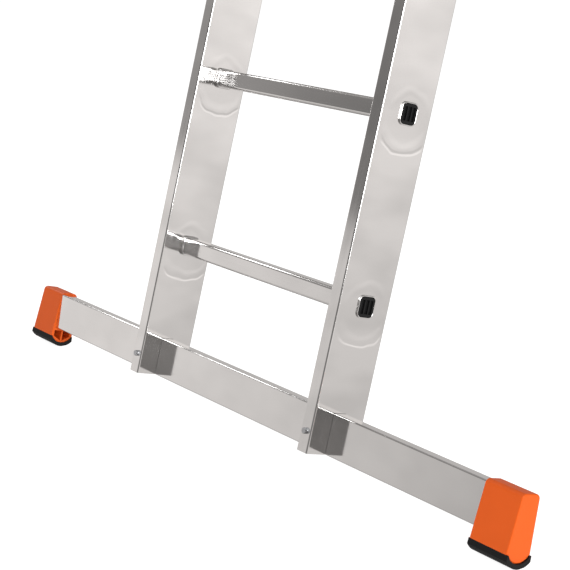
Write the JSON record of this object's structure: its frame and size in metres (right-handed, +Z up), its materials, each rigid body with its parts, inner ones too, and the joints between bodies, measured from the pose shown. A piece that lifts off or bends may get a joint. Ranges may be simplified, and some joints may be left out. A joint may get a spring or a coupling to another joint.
{
  "type": "extension ladder",
  "caption": "Two-section aluminium extension ladder leaning ready for use, with a wide stabiliser bar on capped rubber feet, a sliding fly section and swinging rung locks.",
  "frame": {"origin": "on the floor, midway between the flats of the two rubber soles", "axes": "+X to the climber's right along the rungs, +Y from the climber towards the wall, +Z up; the stiles lean 15 degrees from +Z towards +Y"},
  "size_m": [1.26, 0.7849, 2.8599],
  "materials": {
    "aluminium": "satin extruded",
    "rivet_aluminium": "plain",
    "zinc_steel": "zinc plated",
    "orange_plastic": "satin moulded",
    "black_plastic": "moulded",
    "sole_rubber": "ribbed",
    "wall_rubber": "matt"
  },
  "bodies": {
    "base": {"base_stile_left": "aluminium", "base_rung_plugs_left": "black_plastic", "foot_cap_left": "orange_plastic", "foot_sole_left": "sole_rubber", "base_top_cap_left": "black_plastic", "guide_bracket_left": "zinc_steel", "guide_liner_left": "black_plastic", "base_glide_left": "black_plastic", "base_stile_right": "aluminium", "base_rung_plugs_right": "black_plastic", "foot_cap_right": "orange_plastic", "foot_sole_right": "sole_rubber", "base_top_cap_right": "black_plastic", "guide_bracket_right": "zinc_steel", "guide_liner_right": "black_plastic", "base_glide_right": "black_plastic", "base_rung_1": "aluminium", "base_rung_2": "aluminium", "base_rung_3": "aluminium", "base_rung_4": "aluminium", "base_rung_5": "aluminium", "base_rung_6": "aluminium", "base_rung_7": "aluminium", "stabiliser_bar": "aluminium", "stabiliser_bolts": "zinc_steel", "stabiliser_washers": "zinc_steel", "stabiliser_nuts": "zinc_steel", "guide_rivets": "rivet_aluminium", "base_glide_rivets": "rivet_aluminium"},
    "fly": {"fly_stile_left": "aluminium", "fly_rung_plugs_left": "black_plastic", "fly_top_cap_left": "wall_rubber", "fly_foot_cap_left": "black_plastic", "fly_glide_left": "black_plastic", "fly_stile_right": "aluminium", "fly_rung_plugs_right": "black_plastic", "fly_top_cap_right": "wall_rubber", "fly_foot_cap_right": "black_plastic", "fly_glide_right": "black_plastic", "fly_rung_1": "aluminium", "fly_rung_2": "aluminium", "fly_rung_3": "aluminium", "fly_rung_4": "aluminium", "fly_rung_5": "aluminium", "fly_rung_6": "aluminium", "fly_rung_7": "aluminium", "fly_glide_rivets": "rivet_aluminium", "lock_pivot_pins": "zinc_steel"},
    "lock_left": {"lock_hook_left": "zinc_steel"},
    "lock_right": {"lock_hook_right": "zinc_steel"}
  },
  "joints": [
    {"name": "fly_slide", "type": "slide", "parent": "base", "child": "fly", "axis": [0, 0.2588, 0.9659], "range_m": [-0.84, 0.28]},
    {"name": "lock_left_pivot", "type": "hinge", "parent": "fly", "child": "lock_left", "pos_m": [-0.182, 0.25268, 1.08542], "axis": [1, 0, 0], "range_deg": [0, 100]},
    {"name": "lock_right_pivot", "type": "hinge", "parent": "fly", "child": "lock_right", "pos_m": [0.182, 0.25268, 1.08542], "axis": [1, 0, 0], "range_deg": [0, 100]}
  ]
}
